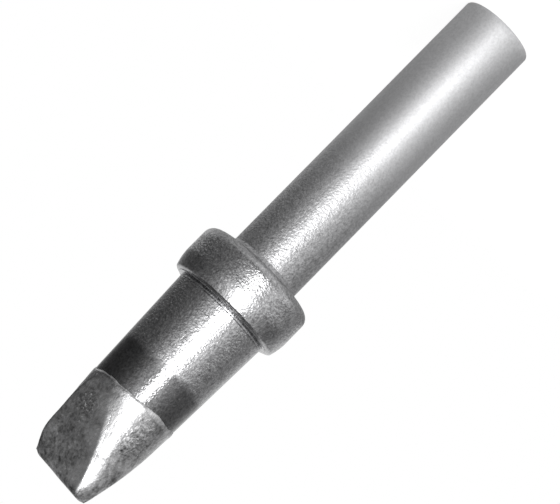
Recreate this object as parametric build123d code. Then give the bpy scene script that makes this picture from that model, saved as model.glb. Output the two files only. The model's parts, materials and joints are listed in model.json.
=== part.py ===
from build123d import *
import os
from math import atan, radians, tan

# Soldering iron tip, turned in one piece from copper and plated.
# Millimetres. The part stands on the end of its shank, +Z runs along its axis to the
# working end, and the origin is the centre of the shank's end face.

# Shank, which slides into the heater
shank_diameter = 5.5
shank_length = 23.35
shank_end_round = 0.22

# Blind bore in the shank for the heater's sensor rod, with a drilled point at its bottom
bore_diameter = 3.4
bore_depth = 20.5
bore_mouth_chamfer = 0.2
drill_point_angle = 118.0

# Collar, whose rear face seats on the heater tube. Its front end tapers, and the crown
# share is how much of the taper's length blends into the collar's side.
collar_diameter = 9.1
collar_width = 3.57
collar_taper_length = 0.78
collar_taper_drop = 0.23
collar_crown_share = 0.65
collar_rear_round = 0.7
collar_seat_fillet = 0.6
collar_front_round = 0.12
collar_front_cone_length = 0.3

# Body between the collar and the tinned end, a slender cone
body_root_diameter = 7.28
body_length = 8.18

# Tinned end, a slightly steeper cone
tinned_root_diameter = 6.68
tinned_length = 7.15
tinned_end_diameter = 5.7

# Two ground flats on the tinned end, which meet in a blunt edge that leans to one side
edge_thickness = 1.26
flat_angle = 21.8
edge_round = 0.5
edge_lean = 5.6

# Rounded corners at the two ends of the edge
corner_inset = 0.17
corner_flare_angle = 25.0
corner_round = 0.6

# Places along the axis
collar_rear_z = shank_length
collar_front_z = collar_rear_z + collar_width
body_root_z = collar_front_z + collar_front_cone_length
tin_line_z = body_root_z + body_length
edge_z = tin_line_z + tinned_length
blank_top_z = edge_z + corner_round

# How far a cutting shape runs past the part
reach = collar_diameter


def turned_blank():
    """The outline of the whole tip before grinding, turned about its axis."""
    shank = shank_diameter / 2
    collar = collar_diameter / 2
    taper_turn = atan(collar_taper_drop / collar_taper_length)
    crown_round = collar_crown_share * collar_taper_length / tan(taper_turn / 2)
    corners = [
        (0, 0),
        (shank, 0),
        (shank, collar_rear_z),
        (collar, collar_rear_z),
        (collar, collar_front_z - collar_taper_length),
        (collar - collar_taper_drop, collar_front_z),
        (body_root_diameter / 2, body_root_z),
        (tinned_root_diameter / 2, tin_line_z),
        (tinned_end_diameter / 2, blank_top_z),
        (0, blank_top_z),
    ]
    rounds = [
        shank_end_round,
        collar_seat_fillet,
        collar_rear_round,
        crown_round,
        collar_front_round,
        0,
        0,
        0,
    ]
    with BuildPart() as blank:
        with BuildSketch(Plane.XZ):
            with BuildLine():
                FilletPolyline(*corners, radius=rounds)
                Line(corners[-1], corners[0])
            make_face()
        revolve(axis=Axis.Z)
    return blank.part


def sensor_bore():
    """The blind bore, open at the shank's end."""
    radius = bore_diameter / 2
    point_depth = radius / tan(radians(drill_point_angle / 2))
    with BuildPart() as bore:
        with BuildSketch(Plane.XZ):
            with BuildLine():
                Polyline(
                    (0, 0),
                    (radius + bore_mouth_chamfer, 0),
                    (radius, bore_mouth_chamfer),
                    (radius, bore_depth),
                    (0, bore_depth + point_depth),
                    close=True,
                )
            make_face()
        revolve(axis=Axis.Z)
    return bore.part


def flats_wedge():
    """What the two flats and their rounded edge leave, as seen along the edge."""
    half = edge_thickness / 2
    run = (reach - half) / tan(radians(flat_angle))
    corners = [(-reach, edge_z - run), (-half, edge_z), (half, edge_z), (reach, edge_z - run)]
    with BuildPart() as wedge:
        with BuildSketch(Plane.YZ):
            with BuildLine():
                FilletPolyline(*corners, radius=edge_round)
                Polyline(corners[-1], (reach, -reach), (-reach, -reach), corners[0])
            make_face()
        extrude(amount=reach, both=True)
    return wedge.part


def corner_cone():
    """A flared cone whose rounded rim takes the corners off the ends of the edge."""
    rim = tinned_end_diameter / 2 - corner_inset
    height = edge_z + reach
    foot = rim + height * tan(radians(corner_flare_angle))
    with BuildPart() as cone:
        with BuildSketch(Plane.XZ):
            with BuildLine():
                FilletPolyline(
                    (foot, edge_z - height), (rim, edge_z), (0, edge_z), radius=[corner_round]
                )
                Polyline((0, edge_z), (0, edge_z - height), (foot, edge_z - height))
            make_face()
        revolve(axis=Axis.Z)
    return cone.part


def leaning(solid):
    """Turns a grinding shape about the middle of the edge, so that the edge leans."""
    return Pos(0, 0, edge_z) * Rot(0, edge_lean, 0) * Pos(0, 0, -edge_z) * solid


os.makedirs("parts", exist_ok=True)
ground_shape = leaning(flats_wedge() & corner_cone())
tip = (turned_blank() & ground_shape) - sensor_bore()
tip.label = "iron_tip"
export_step(tip, "parts/iron_tip.step")
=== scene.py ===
import json
import math

import bmesh
import bpy
from bpy.props import FloatProperty, FloatVectorProperty, IntProperty, PointerProperty
from mathutils import Matrix, Vector, noise


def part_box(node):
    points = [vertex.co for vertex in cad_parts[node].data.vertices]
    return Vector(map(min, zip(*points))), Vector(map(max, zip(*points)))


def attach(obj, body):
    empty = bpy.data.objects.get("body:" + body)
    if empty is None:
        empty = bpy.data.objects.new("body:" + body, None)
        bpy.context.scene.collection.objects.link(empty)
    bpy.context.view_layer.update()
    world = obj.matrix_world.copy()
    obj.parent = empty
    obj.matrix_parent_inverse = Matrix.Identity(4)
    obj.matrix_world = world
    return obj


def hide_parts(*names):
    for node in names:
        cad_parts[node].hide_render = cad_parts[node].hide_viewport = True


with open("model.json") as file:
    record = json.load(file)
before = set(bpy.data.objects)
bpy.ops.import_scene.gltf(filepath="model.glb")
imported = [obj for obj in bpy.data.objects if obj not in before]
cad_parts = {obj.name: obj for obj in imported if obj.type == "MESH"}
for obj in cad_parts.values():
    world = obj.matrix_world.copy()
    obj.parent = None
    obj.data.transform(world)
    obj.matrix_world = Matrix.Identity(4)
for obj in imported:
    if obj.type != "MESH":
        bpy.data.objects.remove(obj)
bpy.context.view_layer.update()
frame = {"record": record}

bl_info = {
    "name": "Soldering Iron Tip",
    "version": (1, 0, 0),
    "blender": (4, 5, 0),
    "location": "3D View > Sidebar > Iron Tip",
    "description": "Builds a plated soldering iron tip with a tinned chisel end and a studio",
    "category": "Object",
}

# The imported node and its body
NODE = "iron_tip"
BODY = "root"

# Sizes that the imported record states, in metres
MM = 0.001
MOUNTS = {mount["name"]: mount for mount in frame["record"]["mounts"]}
SHANK_DIAMETER = 2 * MOUNTS["shank"]["dims"]["r_mm"] * MM
BORE_DIAMETER = 2 * MOUNTS["sensor_bore"]["dims"]["r_mm"] * MM
COLLAR_REAR_Z = MOUNTS["collar_seat"]["pos_m"][2]
COLLAR_DIAMETER = 2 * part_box(NODE)[1].x

# How far the bare body reaches under the solder, as a share of the tinned length
TONGUE_SHARE = 0.05

# Fine step in the collar's front face: how far its face reaches out and towards the collar,
# how much it tapers, and its gap to the bead's groove, in millimetres. Its foot lies at a
# share of the front cone's length.
STEP_FACE_OUT = 0.18
STEP_FACE_UP = 0.065
STEP_TAPER = 0.03
STEP_GAP = 0.03
STEP_FOOT_SHARE = 0.3

# The tin line's waves: how close they are, their place in the noise, and how much closer
# and lower the small ones are
BORDER_WAVES = 2.2
BORDER_PLACE = 0.7
SMALL_WAVES = 3.1
SMALL_WAVE_SHARE = 0.4

# How steeply the coat rises from the tin line, where 1 would be a straight slope
LIP_CURVE = 0.7

# Solder that leans from a ridge to its flat: what its distance is divided by to measure
# true, how fast it falls back towards +X, how far it falls back at the tin line, and the
# height above the line where that ends, in millimetres
LEAN_SLOPE = 1.25
LEAN_SIDE = 0.2
LEAN_FADE = 0.5
LEAN_RISE = 1.6

# The swelling, towards -X: the height above the tin line where it starts, and the heights
# over which it rises and ends at the edge, in millimetres
SWELL_START = 1.2
SWELL_RISE = 3.0
SWELL_FADE = 1.2

# Middle of the drop of solder on the ridge, in millimetres
DROP_PLACE = (2.6, -1.3, 40.6)

# The coat's underside: faces that look down more than this, up to this height above the tin
# line in millimetres
UNDERSIDE_NORMAL = -0.7
UNDERSIDE_HEIGHT = 1.0

# The two corners of the edge: from how far below the edge and how far from the axis, in
# millimetres
CORNER_DROP = 0.9
CORNER_REACH = 2.1

# Passes of smoothing before the fit, at the corners and at the end, and rounds of the fit
BLOCK_PASSES = 4
CORNER_PASSES = 8
LAST_PASSES = 1
FIT_ROUNDS = 2

# Steps of the outline's rounded corners, and of the rounded edge
CORNER_STEPS = 7
EDGE_STEPS = 6

# Distances in millimetres within which vertices weld and a cut meets a vertex
WELD_REACH = 1e-4
CUT_REACH = 1e-6


# Property groups

def setting(name, default, description, **options):
    """A number among the settings."""
    return FloatProperty(name=name, description=description, default=default, **options)


def length(name, default, description):
    """A length in metres, shown in the scene's units."""
    options = {"min": 0.0, "unit": "LENGTH", "subtype": "DISTANCE", "precision": 5}
    return setting(name, default, description, **options)


def angle(name, degrees, description):
    """An angle, given in degrees and kept in radians."""
    radians = math.radians(degrees)
    return setting(name, radians, description, unit="ROTATION", subtype="ANGLE")


def share(name, default, description):
    """A share from 0 to 1."""
    return setting(name, default, description, min=0.0, max=1.0, subtype="FACTOR")


def colour(name, value, description):
    """A colour without alpha."""
    options = {"size": 3, "min": 0.0, "max": 1.0, "subtype": "COLOR"}
    return FloatVectorProperty(name=name, description=description, default=value, **options)


class IronTipShape(bpy.types.PropertyGroup):
    """Sizes of the turned body and of the ground end."""

    shank_diameter: length("Shank Diameter", SHANK_DIAMETER, "Outside of the shank")
    shank_end_round: length("Shank End Round", 0.00022, "Radius on the end's rim")
    bore_diameter: length("Bore Diameter", BORE_DIAMETER, "Blind bore in the shank")
    bore_depth: length("Bore Depth", 0.0205, "Length of the bore's plain wall")
    bore_chamfer: length("Bore Chamfer", 0.0002, "Chamfer at the bore's mouth")
    bore_point: angle("Bore Point", 118.0, "Angle of the drilled point")
    collar_rear: length("Collar Rear", COLLAR_REAR_Z, "Height of the collar's seating face")
    collar_diameter: length("Collar Diameter", COLLAR_DIAMETER, "Widest part of the collar")
    collar_width: length("Collar Width", 0.00357, "Length of the collar along the axis")
    collar_taper: length("Collar Taper", 0.00078, "Length of the front taper")
    collar_taper_drop: length("Taper Drop", 0.00023, "How far the taper comes in")
    collar_crown_share: share("Crown Share", 0.65, "Share of the taper that blends in")
    collar_rear_round: length("Collar Rear Round", 0.0007, "Radius on the rear rim")
    seat_length: length("Seat Length", 0.00046, "Length of the hollow beside the collar")
    seat_angle: angle("Seat Angle", 29.0, "Slope at which the hollow leaves the shank")
    seat_round: length("Seat Round", 0.00045, "Radius of the hollow beside the collar")
    collar_front_round: length("Collar Front Round", 0.00012, "Radius on the front rim")
    collar_front_cone: length("Front Cone", 0.0003, "Length of the cone before the collar")
    front_step: length("Front Step", 0.00032, "Fine step in the front face")
    front_land: length("Front Land", 0.00005, "Width of that step")
    bead_width: length("Bead Width", 0.00009, "Fine bead turned at the body's root")
    bead_height: length("Bead Height", 0.00002, "How far the bead stands proud")
    groove_depth: length("Groove Depth", 0.000045, "Fine grooves on both sides of the bead")
    body_root_diameter: length("Body Root", 0.00728, "Body diameter beside the collar")
    body_length: length("Body Length", 0.00818, "Bare body between collar and tin line")
    tinned_root_diameter: length("Tinned Root", 0.00668, "Diameter at the tin line")
    tinned_length: length("Tinned Length", 0.00715, "From the tin line to the edge")
    tinned_end_diameter: length("Tinned End", 0.0057, "Diameter of the cone at the edge")
    edge_thickness: length("Edge Thickness", 0.00126, "Thickness of the blunt edge")
    edge_round: length("Edge Round", 0.0005, "Radius along the blunt edge")
    flat_angle: angle("Flat Angle", 21.8, "Angle of each ground flat to the axis")
    edge_lean: angle("Edge Lean", 5.6, "Lean of the edge to one side")
    corner_inset: length("Corner Inset", 0.00017, "How far the edge's corners are taken in")
    corner_flare: angle("Corner Flare", 25.0, "Angle at which the corners are taken off")
    segments: IntProperty(
        name="Segments", description="Steps round the axis", default=224, min=24, max=512
    )


class IronTipTin(bpy.types.PropertyGroup):
    """The solder coat on the working end."""

    coat: length("Coat", 0.00006, "How far the solder stands proud of the body")
    border_wave: length("Border Wave", 0.00014, "How far the tin line wanders")
    border_tilt: length("Border Tilt", 0.00019, "How far the tin line leans to one side")
    tilt_azimuth: angle("Tilt Azimuth", -41.0, "Side on which the tin line lies higher")
    lip: length("Lip", 0.00016, "Length over which the coat runs out at the tin line")
    ridge_lean: share("Ridge Lean", 0.42, "How far the solder leans to the flat")
    ridge_inset: length("Ridge Inset", 0.0002, "How far it lies inside the ridge")
    ridge_blend: length("Ridge Blend", 0.0001, "How softly it runs into the cone")
    ridge_crease: length("Ridge Crease", 0.00006, "Softness of the crease along a flat")
    swell: length("Swell", 0.00012, "How far the solder swells out beside the ridges")
    swell_reach: length("Swell Reach", 0.0005, "How quickly the swelling rises")
    drop_height: length("Drop Height", 0.00013, "Drop of solder on the far ridge")
    drop_size: length("Drop Size", 0.0011, "Reach of the drop")
    end_round: length("End Round", 0.00036, "How far the solder rounds the edge's rim")
    grid: length("Grid", 0.00005, "Spacing of the mesh that carries the coat's lumps")
    lump_size: length("Lump Size", 0.0011, "Spacing of the large lumps")
    lump_height: length("Lump Height", 0.000018, "Height of the large lumps")
    ripple_size: length("Ripple Size", 0.00033, "Spacing of the small ripples")
    ripple_height: length("Ripple Height", 0.000007, "Height of the small ripples")


class IronTipFinish(bpy.types.PropertyGroup):
    """Colours and polish of the metals."""

    plating: colour("Plating", (0.69, 0.69, 0.70), "Bright plating on collar and body")
    satin: colour("Satin", (0.72, 0.72, 0.73), "Satin plating at the shank's end")
    tin: colour("Tin", (0.92, 0.92, 0.93), "Solder on the working end")
    tin_stain: colour("Tin Stain", (0.05, 0.05, 0.05), "Stain on the solder")
    stain: colour("Stain", (0.24, 0.24, 0.245), "Stain on the plating")
    # Painted shade: a near-black colour that darkens the band beside the tin, standing in for
    # the darker reflection there
    shade_band_colour: colour("Heat Tint", (0.03, 0.03, 0.03), "Colour of the heated band")
    pit_share: share("Pit Share", 0.35, "How much pits between grains darken it")
    shade_band_share: share("Heat Share", 0.6, "How dark the heated band is")
    shade_band_width: length("Heat Band", 0.00264, "Width of the band beside the tin")
    bright_roughness: share("Bright Roughness", 0.2, "Roughness of collar and body")
    shank_roughness: share("Shank Roughness", 0.37, "Roughness beside the collar")
    satin_roughness: share("Satin Roughness", 0.46, "Roughness at the shank's end")
    tin_roughness: share("Tin Roughness", 0.44, "Roughness of the dull solder")
    clean_roughness: share("Clean Roughness", 0.25, "Roughness of the clean, bright solder")
    peel_scale: setting("Peel Scale", 6500.0, "Grains of the peel to a metre", min=0.0)
    peel_height: length("Peel Height", 0.000021, "Height of the plating's orange peel")
    tin_peel_height: length("Tin Peel Height", 0.000016, "Height of the solder's grain")


class IronTipStudio(bpy.types.PropertyGroup):
    """Light, floor and camera."""

    key_power: setting("Key Power", 0.79, "Power of the key lamp", min=0.0, unit="POWER")
    key_angle: angle("Key Angle", 9.5, "Angle between the key lamp and the camera")
    key_width: length("Key Width", 0.16, "Width of the key lamp")
    low_power: setting("Low Power", 0.03, "Power of the low lamp", min=0.0, unit="POWER")
    low_angle: angle("Low Angle", 72.0, "Angle between the low lamp and the camera")
    low_width: length("Low Width", 0.2, "Width of the low lamp")
    lamp_distance: length("Lamp Distance", 0.4, "From the lamps to the tip's axis")
    ceiling: share("Ceiling", 0.2, "Light that the metal mirrors from above")
    floor_radius: length("Floor Radius", 0.058, "Radius of the floor disc")
    floor_core: share("Floor Core", 0.55, "Share of the radius from which the floor fades")
    floor_white: share("Floor White", 0.85, "White that the camera sees on the floor")
    floor_mirrored: setting("Floor Mirrored", 1.0, "Brightness of the mirrored floor", min=0.0)
    camera_azimuth: angle("Camera Azimuth", -41.0, "Camera's place round the tip")
    camera_elevation: angle("Camera Elevation", 9.2, "Camera's height above the horizon")
    camera_roll: angle("Camera Roll", -135.5, "Turn of the picture about its centre")
    camera_distance: length("Camera Distance", 0.1873, "From the lens to the tip's axis")
    target_height: length("Target Height", 0.02144, "Point in the picture's centre")
    lens: setting("Lens", 180.0, "Focal length in mm, for a sensor 36 mm wide", min=1.0)


# Mesh tools, which work in millimetres until to_object() brings the mesh to metres

def in_mm(value):
    """A property in metres as millimetres."""
    return value / MM


def wire(mesh, points):
    """A chain of edges in the XZ plane through (radius, height) points."""
    verts = [mesh.verts.new((radius, 0.0, height)) for radius, height in points]
    for first, second in zip(verts, verts[1:]):
        mesh.edges.new((first, second))
    return verts


def bevelled(mesh, items, kind, offset, steps, clamp):
    """Rounds corners or edges off."""
    bmesh.ops.bevel(
        mesh,
        geom=items,
        offset=offset,
        offset_type="OFFSET",
        segments=steps,
        profile=0.5,
        affect=kind,
        material=-1,
        clamp_overlap=clamp,
    )


def round_corner(mesh, corner, radius):
    """Rounds one corner of a chain to a radius."""
    first, second = [edge.other_vert(corner).co - corner.co for edge in corner.link_edges]
    turn = math.pi - first.angle(second)
    bevelled(mesh, [corner], "VERTICES", radius * math.tan(turn / 2), CORNER_STEPS, False)


def divide_long(mesh, longest):
    """Divides each edge until none is longer than the given length."""
    groups = {}
    for edge in mesh.edges:
        cuts = math.ceil(edge.calc_length() / longest) - 1
        if cuts > 0:
            groups.setdefault(cuts, []).append(edge)
    for cuts, edges in groups.items():
        bmesh.ops.subdivide_edges(mesh, edges=edges, cuts=cuts)


def turn_round(mesh, steps):
    """Spins the chain into a closed shell and welds it on the axis."""
    bmesh.ops.spin(
        mesh,
        geom=mesh.verts[:] + mesh.edges[:],
        cent=(0, 0, 0),
        axis=(0, 0, 1),
        angle=math.tau,
        steps=steps,
        use_merge=True,
    )
    bmesh.ops.remove_doubles(mesh, verts=mesh.verts, dist=WELD_REACH)
    bmesh.ops.recalc_face_normals(mesh, faces=mesh.faces)


def cut_away(mesh, point, normal):
    """Takes off what lies beyond a plane and closes the cut with one face."""
    cut = bmesh.ops.bisect_plane(
        mesh,
        geom=mesh.verts[:] + mesh.edges[:] + mesh.faces[:],
        dist=CUT_REACH,
        plane_co=point,
        plane_no=normal,
        clear_outer=True,
    )
    rim = [item for item in cut["geom_cut"] if isinstance(item, bmesh.types.BMEdge)]
    return bmesh.ops.contextual_create(mesh, geom=rim)["faces"]


def in_scene(name, data):
    """A new object in the scene."""
    item = bpy.data.objects.new(name, data)
    bpy.context.scene.collection.objects.link(item)
    return item


def to_object(mesh, name, sharp_degrees=None):
    """Makes an object in metres from a bmesh in millimetres."""
    bmesh.ops.scale(mesh, vec=(MM, MM, MM), verts=mesh.verts)
    data = bpy.data.meshes.new(name)
    mesh.to_mesh(data)
    mesh.free()
    data.shade_smooth()
    if sharp_degrees is not None:
        data.set_sharp_from_angle(angle=math.radians(sharp_degrees))
    return in_scene(name, data)


# Pieces

def body_outline(shape):
    """The turned body's corners as (radius, height, rounding), from the bore to the tin."""
    shank = in_mm(shape.shank_diameter) / 2
    bore = in_mm(shape.bore_diameter) / 2
    chamfer = in_mm(shape.bore_chamfer)
    depth = in_mm(shape.bore_depth)
    point = bore / math.tan(shape.bore_point / 2)
    collar = in_mm(shape.collar_diameter) / 2
    taper = in_mm(shape.collar_taper)
    drop = in_mm(shape.collar_taper_drop)
    crown = shape.collar_crown_share * taper / math.tan(math.atan2(drop, taper) / 2)
    rear = in_mm(shape.collar_rear)
    front = rear + in_mm(shape.collar_width)
    root = front + in_mm(shape.collar_front_cone)
    tin_line = root + in_mm(shape.body_length)
    groove = in_mm(shape.groove_depth)
    proud = in_mm(shape.bead_height)
    seat = in_mm(shape.seat_length)
    step = in_mm(shape.body_root_diameter) / 2 + in_mm(shape.front_step)
    step_foot = front + STEP_FOOT_SHARE * in_mm(shape.collar_front_cone)
    step_top = step_foot + in_mm(shape.front_land)
    bead_foot = step_top + STEP_GAP + 2 * groove
    bead_top = bead_foot + in_mm(shape.bead_width)
    root_radius = in_mm(shape.body_root_diameter) / 2
    tin_radius = in_mm(shape.tinned_root_diameter) / 2
    end_radius = in_mm(shape.tinned_end_diameter) / 2
    tongue = TONGUE_SHARE * in_mm(shape.tinned_length)
    tongue_radius = tin_radius + (end_radius - tin_radius) * TONGUE_SHARE
    return [
        (0.0, depth + point, 0.0),
        (bore, depth, 0.0),
        (bore, chamfer, 0.0),
        (bore + chamfer, 0.0, 0.0),
        (shank, 0.0, in_mm(shape.shank_end_round)),
        (shank, rear - seat, 0.0),
        (shank + seat * math.tan(shape.seat_angle), rear, in_mm(shape.seat_round)),
        (collar, rear, in_mm(shape.collar_rear_round)),
        (collar, front - taper, crown),
        (collar - drop, front, in_mm(shape.collar_front_round)),
        (step + STEP_FACE_OUT, front + STEP_FACE_UP, 0.0),
        (step + STEP_TAPER, step_foot, 0.0),
        (step, step_top, 0.0),
        (root_radius + proud, bead_foot - 2 * groove, 0.0),
        (root_radius - groove, bead_foot - groove, 0.0),
        (root_radius + proud, bead_foot, 0.0),
        (root_radius + proud, bead_top, 0.0),
        (root_radius - groove, bead_top + groove, 0.0),
        (root_radius, bead_top + 2 * groove, 0.0),
        (tin_radius, tin_line, 0.0),
        (tongue_radius, tin_line + tongue, 0.0),
        (0.0, tin_line + tongue, 0.0),
    ]


def tin_line_height(shape):
    """Height of the tin line, in millimetres."""
    collar = shape.collar_rear + shape.collar_width + shape.collar_front_cone
    return in_mm(collar + shape.body_length)


def build_body(shape):
    """Shank, collar and body as one closed turned shell, with the blind bore in it."""
    outline = body_outline(shape)
    mesh = bmesh.new()
    corners = wire(mesh, [(radius, height) for radius, height, _ in outline])
    for corner, (_, _, rounding) in zip(corners, outline):
        if rounding:
            round_corner(mesh, corner, rounding)
    divide_long(mesh, longest=0.5)
    turn_round(mesh, shape.segments)
    return to_object(mesh, "plated_body", sharp_degrees=28)


def border_height(shape, tin, around):
    """Height of the wandering tin line in a direction round the axis, in millimetres."""
    place = Vector((BORDER_WAVES * around.x, BORDER_WAVES * around.y, BORDER_PLACE))
    wander = noise.noise(place) + SMALL_WAVE_SHARE * noise.noise(SMALL_WAVES * place)
    tilt_side = Vector((math.cos(tin.tilt_azimuth), math.sin(tin.tilt_azimuth)))
    tilt = in_mm(tin.border_tilt) * around.dot(tilt_side)
    return tin_line_height(shape) + in_mm(tin.border_wave) * wander + tilt


def edge_tilt(shape):
    """The turn that leans the ground edge."""
    return Matrix.Rotation(shape.edge_lean, 3, "Y")


def flat_planes(shape):
    """A point and the outward normal of each ground flat, in millimetres."""
    edge_z = tin_line_height(shape) + in_mm(shape.tinned_length)
    half = in_mm(shape.edge_thickness) / 2
    planes = []
    for side in (-1, 1):
        normal = Vector((0.0, side * math.cos(shape.flat_angle), math.sin(shape.flat_angle)))
        planes.append((Vector((0.0, side * half, edge_z)), edge_tilt(shape) @ normal))
    return planes


def tinned_block(shape, tin):
    """The ground end as a closed block: a turned cone, two flats and a blunt edge."""
    line = tin_line_height(shape)
    edge_z = line + in_mm(shape.tinned_length)
    coat = in_mm(tin.coat)
    root_radius = in_mm(shape.tinned_root_diameter) / 2 + coat
    end_radius = in_mm(shape.tinned_end_diameter) / 2
    top = edge_z + in_mm(shape.edge_round)
    mesh = bmesh.new()
    wire(mesh, [(0.0, line), (root_radius, line), (end_radius, top), (0.0, top)])
    turn_round(mesh, shape.segments)
    for vert in mesh.verts:
        if vert.co.z < line + coat and vert.co.xy.length > coat:
            vert.co.z = border_height(shape, tin, vert.co.xy.normalized())
    for point, normal in flat_planes(shape):
        cut_away(mesh, point, normal)
    end_point = Vector((0.0, 0.0, edge_z - coat))
    blunt = cut_away(mesh, end_point, edge_tilt(shape) @ Vector((0.0, 0.0, 1.0)))
    bmesh.ops.recalc_face_normals(mesh, faces=mesh.faces)
    rim = [edge for face in blunt for edge in face.edges]
    offset = in_mm(shape.edge_round) * math.tan((math.pi / 2 - shape.flat_angle) / 2)
    bevelled(mesh, rim, "EDGES", offset, EDGE_STEPS, True)
    return mesh


def remeshed(mesh, grid):
    """The same closed block with an even grid of faces."""
    data = bpy.data.meshes.new("coarse block")
    mesh.to_mesh(data)
    mesh.free()
    block = in_scene("coarse block", data)
    modifier = block.modifiers.new("even grid", "REMESH")
    modifier.mode = "VOXEL"
    modifier.voxel_size = grid
    seen = block.evaluated_get(bpy.context.evaluated_depsgraph_get())
    fine = bmesh.new()
    fine.from_mesh(seen.to_mesh())
    bpy.data.objects.remove(block)
    bpy.data.meshes.remove(data)
    return fine


def lump_height(tin, place):
    """How far the solder stands out at a place, in millimetres."""
    broad = noise.noise(place / in_mm(tin.lump_size))
    ripple = noise.noise(place / in_mm(tin.ripple_size))
    return in_mm(tin.lump_height) * broad + in_mm(tin.ripple_height) * ripple


def smooth(mesh, verts, passes):
    """Smooths some vertices a number of times."""
    every_way = {"use_axis_x": True, "use_axis_y": True, "use_axis_z": True}
    for _ in range(passes):
        bmesh.ops.smooth_vert(mesh, verts=verts, factor=0.5, **every_way)


def soft_greater(first, second, reach):
    """The greater of two distances, blended where they differ by less than the reach."""
    overlap = max(reach - abs(first - second), 0.0) / reach
    return max(first, second) + overlap * overlap * reach / 4


def clamped(value):
    """A value kept between 0 and 1."""
    return min(max(value, 0.0), 1.0)


def solder_surface(shape, tin):
    """A function that tells how far a place lies outside the solder, in millimetres."""
    line = tin_line_height(shape)
    long = in_mm(shape.tinned_length)
    root = in_mm(shape.tinned_root_diameter) / 2
    taper = (root - in_mm(shape.tinned_end_diameter) / 2) / long
    coat = in_mm(tin.coat)
    lip = in_mm(tin.lip)
    inset = in_mm(tin.ridge_inset)
    blend = in_mm(tin.ridge_blend)
    crease = in_mm(tin.ridge_crease)
    swell = in_mm(tin.swell)
    swell_reach = in_mm(tin.swell_reach)
    drop_place = Vector(DROP_PLACE)
    drop_size = in_mm(tin.drop_size)
    end_reach = in_mm(tin.end_round)
    planes = flat_planes(shape)
    edge_middle = Vector((0.0, 0.0, line + long))
    upright = edge_tilt(shape).transposed()
    rim = in_mm(shape.tinned_end_diameter) / 2 - in_mm(shape.corner_inset)
    flare = shape.corner_flare

    def end_face(place):
        """How far a place lies outside the blunt edge and its corners."""
        local = upright @ (place - edge_middle)
        corner = (local.xy.length - rim) * math.cos(flare) + local.z * math.sin(flare)
        return soft_greater(local.z + coat, corner, end_reach)

    def outside(place):
        """How far a place lies outside the whole coat."""
        radius = place.xy.length
        side = radius - root + taper * (place.z - line)
        above = (place.z - border_height(shape, tin, place.xy.normalized())) / lip
        side -= coat * clamped(above) ** LIP_CURVE
        flats = [(place - point).dot(normal) for point, normal in planes]
        inside = max(-max(flats), 0.0)
        full = clamped((place.z - line - SWELL_START) / SWELL_RISE)
        full *= clamped(-place.x)
        full *= clamped((line + long - place.z) / SWELL_FADE)
        side -= swell * full * (1.0 - math.exp(-inside / swell_reach))
        for flat in flats:
            leaning = (side + tin.ridge_lean * flat) / LEAN_SLOPE + inset
            leaning -= LEAN_SIDE * max(place.x, 0.0)
            leaning -= LEAN_FADE * max(1.0 - (place.z - line) / LEAN_RISE, 0.0) ** 2
            side = soft_greater(flat, soft_greater(side, leaning, blend), crease)
        side = soft_greater(side, end_face(place), end_reach)
        drop = math.exp(-((place - drop_place).length / drop_size) ** 2)
        return side - in_mm(tin.drop_height) * drop

    return outside


def fit_to_surface(mesh, outside, rounds):
    """Moves each vertex along its normal onto a surface."""
    for _ in range(rounds):
        mesh.normal_update()
        moves = [(vert, vert.normal * outside(vert.co)) for vert in mesh.verts]
        for vert, move in moves:
            vert.co -= move


def at_corner(place, edge_z):
    """Whether a place lies at one of the two corners of the edge."""
    return place.z > edge_z - CORNER_DROP and place.xy.length > CORNER_REACH


def build_tinned_end(shape, tin):
    """The ground chisel end under its solder coat."""
    mesh = remeshed(tinned_block(shape, tin), in_mm(tin.grid))
    smooth(mesh, mesh.verts, BLOCK_PASSES)
    line = tin_line_height(shape)
    lowest = [vert for vert in mesh.verts if vert.co.z < line + UNDERSIDE_HEIGHT]
    underside = [vert for vert in lowest if vert.normal.z < UNDERSIDE_NORMAL]
    kept = [(vert, vert.co.copy()) for vert in underside]
    fit_to_surface(mesh, solder_surface(shape, tin), FIT_ROUNDS)
    for vert, place in kept:
        vert.co = place
    edge_z = line + in_mm(shape.tinned_length)
    corners = [vert for vert in mesh.verts if at_corner(vert.co, edge_z)]
    smooth(mesh, corners, CORNER_PASSES)
    smooth(mesh, mesh.verts, LAST_PASSES)
    mesh.normal_update()
    for vert, normal in [(vert, vert.normal.copy()) for vert in mesh.verts]:
        vert.co += lump_height(tin, vert.co) * normal
    bmesh.ops.recalc_face_normals(mesh, faces=mesh.faces)
    return to_object(mesh, "tinned_end")


# Node groups and materials

# Waves to a metre of the ragged borders, how far they push a patch's border, and where the
# patch fades, as shares of its radius
RAGGED_WAVES = 1500.0
RAGGED_REACH = (1.2, -0.6)
PATCH_FADE = (0.3, 1.25)

# The orange peel: its finer and broader noise, and what counts as a grain's top or a pit
FINE_WAVES = 1.8
BROAD_WAVES = 0.25
PEEL_TOPS = (0.55, 0.72)
PEEL_PITS = (0.68, 0.32)

# Cloudy patterns: waves to a metre, and the values that they run between
CLOUD_RANGE = (0.32, 0.68)
CLOUDS = {
    "polish": (1100.0, -0.02, 0.02),
    "plating_specks": (4500.0, -0.05, 0.65),
    "tin_haze": (800.0, -0.05, 0.55),
    "tin_specks": (3600.0, 0.0, 0.55),
}

# Heights in metres: where the shank is fully satin, where the polish changes beside the
# collar's rear, and how soft the border of the band of painted shade beside the tin is and
# how far it wanders
SATIN_HEIGHT = 0.004
SHANK_BORDER = (0.0004, -0.0002)
SHADE_BAND_BORDER = 0.0007
SHADE_BAND_WANDER = 0.0009

# Dark mark on the collar: its place and radius in metres, and its strength
MARK_PLACE = (-0.0045, -0.0001, 0.0264)
MARK_RADIUS = 0.0009
MARK_SHARE = 0.3

# How specks and grain weaken as the plating turns satin, and what the band of painted shade
# beside the tin does to both the plating's roughness and its grain
SPECK_FADE = (0.0, 0.6, 1.0, 0.3)
GRAIN_FADE = (0.15, 0.85, 1.0, 0.2)
SHADE_BAND_ROUGHNESS = -0.15
SHADE_BAND_GRAIN = -0.6
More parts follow.
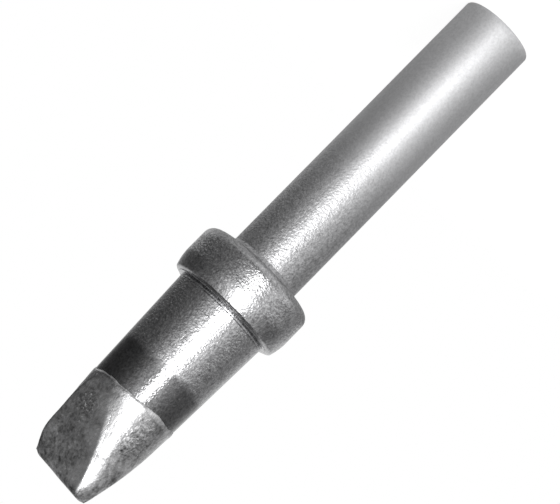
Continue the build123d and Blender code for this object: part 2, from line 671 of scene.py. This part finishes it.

# Centre and radius in metres of the solder's clean patches along the near ridge, lighter
# where the highlight strip falls and so partly a painted highlight, and of its patches of
# coarse grain
CLEAN_HIGHLIGHT_PATCHES = [
    ((-0.0023, -0.00115, 0.0413), 0.0014),
    ((-0.002, -0.002, 0.0392), 0.0012),
    ((-0.00195, -0.00255, 0.0371), 0.0016),
]
GRAIN_PATCHES = [
    ((-0.0031, -0.0006, 0.0375), 0.0014),
    ((0.0005, -0.0025, 0.0379), 0.0011),
]

# Above the tin line, in metres: where the fresh solder ends and is full, and its dull rim,
# with the roughness that it adds
FRESH_SPAN = (0.0065, 0.002)
RIM_SPAN = (0.00028, 0.0001)
RIM_ROUGHNESS = 0.2

# What a patch of coarse grain adds, and what there is without it: stain in the pits,
# roughness on the tops, and height of the coarse grain, whose waves are a share of the fine
PIT_STAIN = (0.35, 0.1)
TOP_ROUGHNESS = (0.5, 0.2)
COARSE_HEIGHT = (2.8, 0.8)
COARSE_WAVES = 0.6

# How much stain fresh solder and the clean patches lose; on the clean patches the lighter
# colour is partly a painted highlight
FRESH_LOSS = -0.3
CLEAN_HIGHLIGHT_LOSS = -0.7


def add_node(tree, kind, **settings):
    """Adds a node and sets its options."""
    node = tree.nodes.new(kind)
    for name, value in settings.items():
        setattr(node, name, value)
    return node


def feed(tree, socket, source):
    """Links a socket to another node's output, or sets it to a constant."""
    if isinstance(source, bpy.types.NodeSocket):
        tree.links.new(source, socket)
    else:
        socket.default_value = source


def maths(tree, operation, *sources):
    """The result of a Math node."""
    node = add_node(tree, "ShaderNodeMath", operation=operation)
    for socket, source in zip(node.inputs, sources):
        feed(tree, socket, source)
    return node.outputs["Value"]


def fill(tree, node, **values):
    """Feeds some of a node's inputs and gives its outputs."""
    for name, source in values.items():
        feed(tree, node.inputs[name.replace("_", " ").title()], source)
    return node.outputs


def spread(tree, value, low, high, into_low, into_high, smooth=False):
    """A value mapped from one range to another and kept inside it."""
    kind = "SMOOTHSTEP" if smooth else "LINEAR"
    node = add_node(tree, "ShaderNodeMapRange", interpolation_type=kind, clamp=True)
    ranges = {"from_min": low, "from_max": high, "to_min": into_low, "to_max": into_high}
    return fill(tree, node, value=value, **ranges)["Result"]


def mixed(tree, amount, first, second):
    """Two colours mixed by an amount from 0 to 1."""
    node = add_node(tree, "ShaderNodeMix", data_type="RGBA")
    feed(tree, node.inputs["Factor"], amount)
    colours = [socket for socket in node.inputs if socket.type == "RGBA"]
    for socket, source in zip(colours, (first, second)):
        feed(tree, socket, source)
    return [socket for socket in node.outputs if socket.type == "RGBA"][0]


def noise_value(tree, vector, scale, detail, roughness=0.5):
    """The value of a Noise texture."""
    node = add_node(tree, "ShaderNodeTexNoise", noise_dimensions="3D")
    outputs = fill(tree, node, vector=vector, scale=scale, detail=detail, roughness=roughness)
    return [socket for socket in outputs if socket.type == "VALUE"][0]


def new_group(name, inputs, outputs):
    """An empty node group and its two end nodes. An input without a value is a vector."""
    group = bpy.data.node_groups.new(name, "ShaderNodeTree")
    for label, value in inputs.items():
        kind = "NodeSocketVector" if value is None else "NodeSocketFloat"
        socket = group.interface.new_socket(name=label, in_out="INPUT", socket_type=kind)
        if value is not None:
            socket.default_value = value
    kind = "NodeSocketFloat"
    for label in outputs:
        group.interface.new_socket(name=label, in_out="OUTPUT", socket_type=kind)
    given = add_node(group, "NodeGroupInput")
    made = add_node(group, "NodeGroupOutput")
    return group, given.outputs, made.inputs


def placed(tree, group, **values):
    """The outputs of a node group placed in a tree with its own values."""
    return fill(tree, add_node(tree, "ShaderNodeGroup", node_tree=group), **values)


def height_blend_group():
    """A mask that rises from 0 to 1 between two heights on the tip's axis."""
    inputs = {"Place": None, "Start": 0.0, "End": 0.01, "Wander": 0.0}
    group, given, made = new_group("height_blend", inputs, ["Mask"])
    place = given["Place"]
    height = fill(group, add_node(group, "ShaderNodeSeparateXYZ"), vector=place)["Z"]
    drift = noise_value(group, place, RAGGED_WAVES, 2.0)
    height = maths(group, "MULTIPLY_ADD", drift, given["Wander"], height)
    mask = spread(group, height, given["Start"], given["End"], 0.0, 1.0, smooth=True)
    feed(group, made["Mask"], mask)
    return group


def peel_group():
    """The fine orange peel of a metal: its height, and masks of its tops and pits."""
    inputs = {"Place": None, "Scale": 6500.0, "Fine Share": 0.3, "Broad Share": 0.25}
    group, given, made = new_group("peel", inputs, ["Height", "Tops", "Pits"])
    grain = noise_value(group, given["Place"], given["Scale"], 1.0)
    fine_scale = maths(group, "MULTIPLY", given["Scale"], FINE_WAVES)
    fine = noise_value(group, given["Place"], fine_scale, 0.0)
    broad_scale = maths(group, "MULTIPLY", given["Scale"], BROAD_WAVES)
    broad = noise_value(group, given["Place"], broad_scale, 1.0)
    height = maths(group, "MULTIPLY_ADD", fine, given["Fine Share"], grain)
    height = maths(group, "MULTIPLY_ADD", broad, given["Broad Share"], height)
    feed(group, made["Height"], height)
    feed(group, made["Tops"], spread(group, grain, *PEEL_TOPS, 0.0, 1.0))
    feed(group, made["Pits"], spread(group, fine, *PEEL_PITS, 0.0, 1.0))
    return group


def mottle_group():
    """Slow cloudy change of a value over the surface."""
    inputs = {"Place": None, "Scale": 900.0, "Low": 0.0, "High": 1.0}
    group, given, made = new_group("mottle", inputs, ["Value"])
    cloud = noise_value(group, given["Place"], given["Scale"], 3.0, roughness=0.6)
    value = spread(group, cloud, *CLOUD_RANGE, given["Low"], given["High"])
    feed(group, made["Value"], value)
    return group


def patch_group():
    """A mask of a patch round a place, with a ragged border."""
    inputs = {"Place": None, "Centre": None, "Radius": 0.001}
    group, given, made = new_group("patch", inputs, ["Mask"])
    apart = add_node(group, "ShaderNodeVectorMath", operation="DISTANCE")
    feed(group, apart.inputs[0], given["Place"])
    feed(group, apart.inputs[1], given["Centre"])
    ragged = noise_value(group, given["Place"], RAGGED_WAVES, 2.0)
    ragged = maths(group, "MULTIPLY_ADD", ragged, *RAGGED_REACH)
    reach = maths(group, "DIVIDE", apart.outputs["Value"], given["Radius"])
    reach = maths(group, "ADD", reach, ragged)
    feed(group, made["Mask"], spread(group, reach, *PATCH_FADE, 1.0, 0.0, smooth=True))
    return group


def emptied(owner):
    """The emptied node tree of a material or world."""
    owner.use_nodes = True
    owner.node_tree.nodes.clear()
    return owner.node_tree


def new_material(name, metallic=1.0):
    """A material, its tree, the inputs of its Principled BSDF and Object coordinates."""
    material = bpy.data.materials.new(name)
    tree = emptied(material)
    shader = add_node(tree, "ShaderNodeBsdfPrincipled")
    shader.inputs["Metallic"].default_value = metallic
    output = add_node(tree, "ShaderNodeOutputMaterial")
    fill(tree, output, surface=shader.outputs["BSDF"])
    place = add_node(tree, "ShaderNodeTexCoord").outputs["Object"]
    return material, tree, shader.inputs, place


def bumped(tree, height, distance):
    """The normal of a Bump node."""
    node = add_node(tree, "ShaderNodeBump")
    return fill(tree, node, height=height, distance=distance)["Normal"]


def four(rgb):
    """A colour with full alpha."""
    return (*rgb, 1.0)


def grey(value):
    """A grey with full alpha."""
    return (value, value, value, 1.0)


def blend(tree, groups, place, start, end, wander=0.0):
    """A mask that rises between two heights in metres, with a wandering border."""
    group = groups["height_blend"]
    return placed(tree, group, place=place, start=start, end=end, wander=wander)["Mask"]


def cloud(tree, groups, place, name):
    """One of the cloudy patterns."""
    group = groups["mottle"]
    scale, low, high = CLOUDS[name]
    return placed(tree, group, place=place, scale=scale, low=low, high=high)["Value"]


def patches(tree, groups, place, spots):
    """A mask of ragged patches, each given by its centre and radius."""
    mask = 0.0
    for centre, radius in spots:
        spot = placed(tree, groups["patch"], place=place, centre=centre, radius=radius)
        mask = maths(tree, "MAXIMUM", mask, spot["Mask"])
    return mask


def plating_material(finish, shape, groups):
    """Bright plating, satin on the shank, and darkened beside the tin by a band of painted
    shade.
    """
    material, tree, shader, place = new_material("bright_plating")
    rear = shape.collar_rear
    polished, rough = [rear + offset for offset in SHANK_BORDER]
    band = tin_line_height(shape) * MM - finish.shade_band_width
    satin = blend(tree, groups, place, rear, SATIN_HEIGHT)
    shank = blend(tree, groups, place, polished, rough)
    # Painted shade: the band beside the tin, darkened in colour to stand in for the darker
    # reflection there
    shade_band = blend(tree, groups, place, band, band + SHADE_BAND_BORDER, SHADE_BAND_WANDER)
    shade_band = maths(tree, "MULTIPLY", shade_band, finish.shade_band_share)
    peel = placed(tree, groups["peel"], place=place, scale=finish.peel_scale)
    mark = patches(tree, groups, place, [(MARK_PLACE, MARK_RADIUS)])

    specks = cloud(tree, groups, place, "plating_specks")
    shade = maths(tree, "MULTIPLY_ADD", peel["Pits"], finish.pit_share, specks)
    shade = maths(tree, "MULTIPLY_ADD", mark, MARK_SHARE, shade)
    shade = maths(tree, "MULTIPLY", shade, spread(tree, satin, *SPECK_FADE))
    metal = mixed(tree, satin, four(finish.plating), four(finish.satin))
    metal = mixed(tree, shade, metal, four(finish.stain))
    # The painted shade is mixed into the colour over the band beside the tin
    feed(tree, shader["Base Color"], mixed(tree, shade_band, metal, four(finish.shade_band_colour)))

    polish = spread(tree, shank, 0.0, 1.0, finish.bright_roughness, finish.shank_roughness)
    worn = finish.satin_roughness - finish.shank_roughness
    polish = maths(tree, "MULTIPLY_ADD", satin, worn, polish)
    polish = maths(tree, "MULTIPLY_ADD", shade_band, SHADE_BAND_ROUGHNESS, polish)
    polish = maths(tree, "ADD", polish, cloud(tree, groups, place, "polish"))
    feed(tree, shader["Roughness"], polish)

    grain = spread(tree, satin, *GRAIN_FADE)
    grain = maths(tree, "MULTIPLY", grain, maths(tree, "MULTIPLY_ADD", shade_band, SHADE_BAND_GRAIN, 1.0))
    height = maths(tree, "MULTIPLY", peel["Height"], grain)
    feed(tree, shader["Normal"], bumped(tree, height, finish.peel_height))
    return material


def tin_material(finish, shape, groups):
    """Solder, uneven in polish, with clean strips that are partly a painted highlight, and
    patches of coarse grain.
    """
    material, tree, shader, place = new_material("tin_coat")
    line = tin_line_height(shape) * MM
    fresh = blend(tree, groups, place, *[line + offset for offset in FRESH_SPAN])
    rim = blend(tree, groups, place, *[line + offset for offset in RIM_SPAN])
    grainy = patches(tree, groups, place, GRAIN_PATCHES)
    # Clean patches along the near ridge: smoother solder with less stain, and partly a painted
    # highlight, lighter where the highlight strip falls
    clean_highlight = patches(tree, groups, place, CLEAN_HIGHLIGHT_PATCHES)
    peel = placed(tree, groups["peel"], place=place, scale=finish.peel_scale)
    coarse_scale = COARSE_WAVES * finish.peel_scale
    coarse = placed(tree, groups["peel"], place=place, scale=coarse_scale)

    shade = maths(tree, "MULTIPLY_ADD", grainy, *PIT_STAIN)
    haze = cloud(tree, groups, place, "tin_haze")
    shade = maths(tree, "MULTIPLY_ADD", shade, coarse["Pits"], haze)
    shade = maths(tree, "ADD", cloud(tree, groups, place, "tin_specks"), shade)
    left = maths(tree, "MULTIPLY_ADD", fresh, FRESH_LOSS, 1.0)
    # Stain taken off the clean patches, which lightens them as a partly painted highlight
    left = maths(tree, "MULTIPLY_ADD", clean_highlight, CLEAN_HIGHLIGHT_LOSS, left)
    shade = maths(tree, "MULTIPLY", shade, left)
    metal = mixed(tree, shade, four(finish.tin), four(finish.tin_stain))
    feed(tree, shader["Base Color"], metal)

    sparkle = maths(tree, "MULTIPLY_ADD", grainy, *TOP_ROUGHNESS)
    sparkle = maths(tree, "MULTIPLY", sparkle, coarse["Tops"])
    bright = maths(tree, "MAXIMUM", fresh, clean_highlight)
    polish = spread(tree, bright, 0.0, 1.0, finish.tin_roughness, finish.clean_roughness)
    polish = maths(tree, "MULTIPLY_ADD", rim, RIM_ROUGHNESS, polish)
    feed(tree, shader["Roughness"], maths(tree, "ADD", sparkle, polish))

    height = maths(tree, "MULTIPLY_ADD", grainy, *COARSE_HEIGHT)
    height = maths(tree, "MULTIPLY_ADD", coarse["Height"], height, peel["Height"])
    feed(tree, shader["Normal"], bumped(tree, height, finish.tin_peel_height))
    return material


def ring_of_light(tree, direction, studio, lights, turn_on=0.0):
    """The light from a direction round the tip, turned on by a share of a full turn."""
    mapping = add_node(tree, "ShaderNodeMapping", vector_type="POINT")
    turn = math.pi / 2 - studio.camera_azimuth
    turned = fill(tree, mapping, vector=direction, rotation=(0.0, 0.0, turn))["Vector"]
    gradient = add_node(tree, "ShaderNodeTexGradient", gradient_type="RADIAL")
    around = fill(tree, gradient, vector=turned)["Fac"]
    ramp = add_node(tree, "ShaderNodeValToRGB")
    ramp.color_ramp.interpolation = "EASE"
    stops = ramp.color_ramp.elements
    for index, (degrees, light) in enumerate(lights):
        position = 0.5 - degrees / 360.0
        stop = stops[index] if index < 2 else stops.new(position)
        stop.position = position
        stop.color = grey(light)
    return fill(tree, ramp, fac=maths(tree, "ADD", around, turn_on))["Color"]


def floor_material(studio):
    """A pale floor that fades out at its rim and looks white to the camera."""
    material, tree, shader, place = new_material("pale_floor", metallic=0.0)
    middle = add_node(tree, "ShaderNodeVectorMath", operation="LENGTH")
    feed(tree, middle.inputs[0], place)
    far = middle.outputs["Value"]
    reach = studio.floor_radius
    cover = spread(tree, far, studio.floor_core * reach, reach, 1.0, 0.0, smooth=True)
    feed(tree, shader["Base Color"], grey(FLOOR_GREY))
    feed(tree, shader["Roughness"], FLOOR_ROUGHNESS)
    feed(tree, shader["Alpha"], cover)
    paths = add_node(tree, "ShaderNodeLightPath").outputs
    ring = ring_of_light(tree, place, studio, FLOOR_LIGHT)
    glow_colour = mixed(tree, paths["Is Camera Ray"], ring, grey(1.0))
    feed(tree, shader["Emission Color"], glow_colour)
    mirrored = maths(tree, "MULTIPLY", paths["Is Glossy Ray"], studio.floor_mirrored)
    seen = maths(tree, "MULTIPLY", paths["Is Camera Ray"], studio.floor_white)
    feed(tree, shader["Emission Strength"], maths(tree, "ADD", seen, mirrored))
    return material


# Studio

# Light round the tip: angle from the camera in degrees, positive towards the picture's
# lower right, and the light there as a share of the room's strength
ROOM_LIGHT = [
    (180, 0.42), (160, 0.38), (137, 0.27), (115, 0.15), (90, 0.125),
    (71, 0.155), (55, 0.235), (41, 0.43), (27, 0.67), (10, 0.78),
    (-7, 0.74), (-20, 0.51), (-34, 0.265), (-48, 0.135), (-63, 0.078),
    (-80, 0.05), (-105, 0.038), (-125, 0.045), (-150, 0.09), (-165, 0.22),
    (-180, 0.42),
]
ROOM_STRENGTH = 2.0

# The same for the floor, as a share of its mirrored brightness
FLOOR_LIGHT = [
    (180, 0.22), (95, 0.2), (65, 0.36), (45, 0.56), (20, 0.66),
    (-5, 0.6), (-34, 0.37), (-60, 0.25), (-180, 0.22),
]

# How the room changes with a direction's height, from -1 straight down to 1 straight up.
# Each row is two heights and the values there: a turn of the ring, and the shares of the
# ceiling, of the dim light below and of the dark overhead.
RING_TURN = (-0.172, -0.14, 0.135, 0.0)
CEILING_SHARE = (0.15, 0.5, 0.0, 0.3)
BELOW_SHARE = (-0.235, -0.14, 0.68, 0.0)
OVERHEAD_SHARE = (0.6, 0.85, 0.0, 0.75)
BELOW_GREY = 0.16
OVERHEAD_GREY = 0.02

FLOOR_GREY = 0.4
FLOOR_ROUGHNESS = 0.9

# Lowest and highest elevation of the two lamps, in degrees
KEY_SPAN = (-5, 35)
LOW_SPAN = (-36, -17)


def build_world(studio):
    """White to the camera, and a room with a dark side for the metal to mirror."""
    world = bpy.data.worlds.new("studio_world")
    bpy.context.scene.world = world
    tree = emptied(world)
    direction = add_node(tree, "ShaderNodeTexCoord").outputs["Generated"]
    height = fill(tree, add_node(tree, "ShaderNodeSeparateXYZ"), vector=direction)["Z"]
    turn_on = spread(tree, height, *RING_TURN)
    ring = ring_of_light(tree, direction, studio, ROOM_LIGHT, turn_on)
    above = spread(tree, height, *CEILING_SHARE, smooth=True)
    room = mixed(tree, above, ring, grey(studio.ceiling))
    below = spread(tree, height, *BELOW_SHARE)
    room = mixed(tree, below, room, grey(BELOW_GREY))
    overhead = spread(tree, height, *OVERHEAD_SHARE, smooth=True)
    room = mixed(tree, overhead, room, grey(OVERHEAD_GREY))
    paths = add_node(tree, "ShaderNodeLightPath").outputs
    seen = mixed(tree, paths["Is Camera Ray"], room, grey(1.0))
    strength = spread(tree, paths["Is Camera Ray"], 0.0, 1.0, ROOM_STRENGTH, 1.0)
    background = add_node(tree, "ShaderNodeBackground")
    light = fill(tree, background, strength=strength, color=seen)["Background"]
    fill(tree, add_node(tree, "ShaderNodeOutputWorld"), surface=light)


def build_floor(studio):
    """A pale disc under the tip."""
    mesh = bmesh.new()
    bmesh.ops.create_circle(mesh, cap_ends=True, segments=96, radius=studio.floor_radius)
    data = bpy.data.meshes.new("floor")
    mesh.to_mesh(data)
    mesh.free()
    floor = in_scene("floor", data)
    data.materials.append(floor_material(studio))


def soft_lamp(studio, name, power, azimuth, width, span):
    """A soft lamp round the tip, at an angle from the camera, over a span of elevations."""
    low, high = [studio.lamp_distance * math.tan(math.radians(edge)) for edge in span]
    light = bpy.data.lights.new(name, "AREA")
    light.shape = "RECTANGLE"
    light.size = width
    light.size_y = high - low
    light.energy = power
    lamp = in_scene(name, light)
    turn = studio.camera_azimuth - math.pi / 2 - azimuth
    place = studio.lamp_distance * Vector((math.cos(turn), math.sin(turn), 0.0))
    lamp.rotation_euler = place.to_track_quat("Z", "Y").to_euler()
    lamp.location = (place.x, place.y, (low + high) / 2)
    lamp.visible_camera = False


def build_lamps(studio):
    """The key beside the camera, and a weak lamp low at the side."""
    key = (studio.key_power, studio.key_angle, studio.key_width)
    low = (studio.low_power, studio.low_angle, studio.low_width)
    soft_lamp(studio, "key", *key, KEY_SPAN)
    soft_lamp(studio, "low_key", *low, LOW_SPAN)


def build_camera(studio):
    """The camera at the photo's angle, rolled so that the tip lies across the picture."""
    data = bpy.data.cameras.new("photo_camera")
    data.lens = studio.lens
    data.sensor_width = 36.0
    camera = in_scene("photo_camera", data)
    turn = (
        Matrix.Rotation(studio.camera_azimuth, 4, "Z")
        @ Matrix.Rotation(math.pi / 2 - studio.camera_elevation, 4, "X")
    )
    target = Matrix.Translation((0.0, 0.0, studio.target_height))
    away = Matrix.Translation((0.0, 0.0, studio.camera_distance))
    camera.matrix_world = target @ turn @ Matrix.Rotation(studio.camera_roll, 4, "Z") @ away
    bpy.context.scene.camera = camera


def shared_groups():
    """The node groups that the finishes share, built once."""
    makers = {
        "height_blend": height_blend_group,
        "peel": peel_group,
        "mottle": mottle_group,
        "patch": patch_group,
    }
    return {name: bpy.data.node_groups.get(name) or make() for name, make in makers.items()}


def finished(scene, piece, make_material):
    """Gives a piece its finish and its place in the frame."""
    finish, shape = scene.iron_tip_finish, scene.iron_tip_shape
    piece.data.materials.append(make_material(finish, shape, shared_groups()))
    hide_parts(NODE)
    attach(piece, BODY)


class IRONTIP_OT_body(bpy.types.Operator):
    """Builds the shank, collar and body"""

    bl_idname = "irontip.body"
    bl_label = "Plated Body"

    def execute(self, context):
        scene = context.scene
        finished(scene, build_body(scene.iron_tip_shape), plating_material)
        return {"FINISHED"}


class IRONTIP_OT_tinned_end(bpy.types.Operator):
    """Builds the ground end with its solder coat"""

    bl_idname = "irontip.tinned_end"
    bl_label = "Tinned End"

    def execute(self, context):
        scene = context.scene
        piece = build_tinned_end(scene.iron_tip_shape, scene.iron_tip_tin)
        finished(scene, piece, tin_material)
        return {"FINISHED"}


class IRONTIP_OT_studio(bpy.types.Operator):
    """Builds the floor, the light and the camera"""

    bl_idname = "irontip.studio"
    bl_label = "Studio"

    def execute(self, context):
        studio = context.scene.iron_tip_studio
        build_world(studio)
        build_floor(studio)
        build_lamps(studio)
        build_camera(studio)
        context.scene.view_settings.view_transform = "Standard"
        return {"FINISHED"}


class IRONTIP_PT_panel(bpy.types.Panel):
    """The tip's settings and operators"""

    bl_idname = "IRONTIP_PT_panel"
    bl_label = "Iron Tip"
    bl_space_type = "VIEW_3D"
    bl_region_type = "UI"
    bl_category = "Iron Tip"

    def draw(self, context):
        layout = self.layout
        for operator in OPERATORS:
            layout.operator(operator.bl_idname)
        for name, group in GROUPS.items():
            box = layout.box()
            settings = getattr(context.scene, name)
            for field in group.__annotations__:
                box.prop(settings, field)


OPERATORS = [IRONTIP_OT_body, IRONTIP_OT_tinned_end, IRONTIP_OT_studio]
GROUPS = {
    "iron_tip_shape": IronTipShape,
    "iron_tip_tin": IronTipTin,
    "iron_tip_finish": IronTipFinish,
    "iron_tip_studio": IronTipStudio,
}
CLASSES = [*GROUPS.values(), *OPERATORS, IRONTIP_PT_panel]


def register():
    """Registers the classes and gives the scene its settings."""
    for item in CLASSES:
        bpy.utils.register_class(item)
    for name, group in GROUPS.items():
        setattr(bpy.types.Scene, name, PointerProperty(type=group))


def unregister():
    """Takes the settings and the classes away again."""
    for name in GROUPS:
        delattr(bpy.types.Scene, name)
    for item in reversed(CLASSES):
        bpy.utils.unregister_class(item)


def main():
    """Builds the tip and its studio."""
    register()
    bpy.ops.irontip.body()
    bpy.ops.irontip.tinned_end()
    bpy.ops.irontip.studio()


if __name__ == "__main__":
    main()
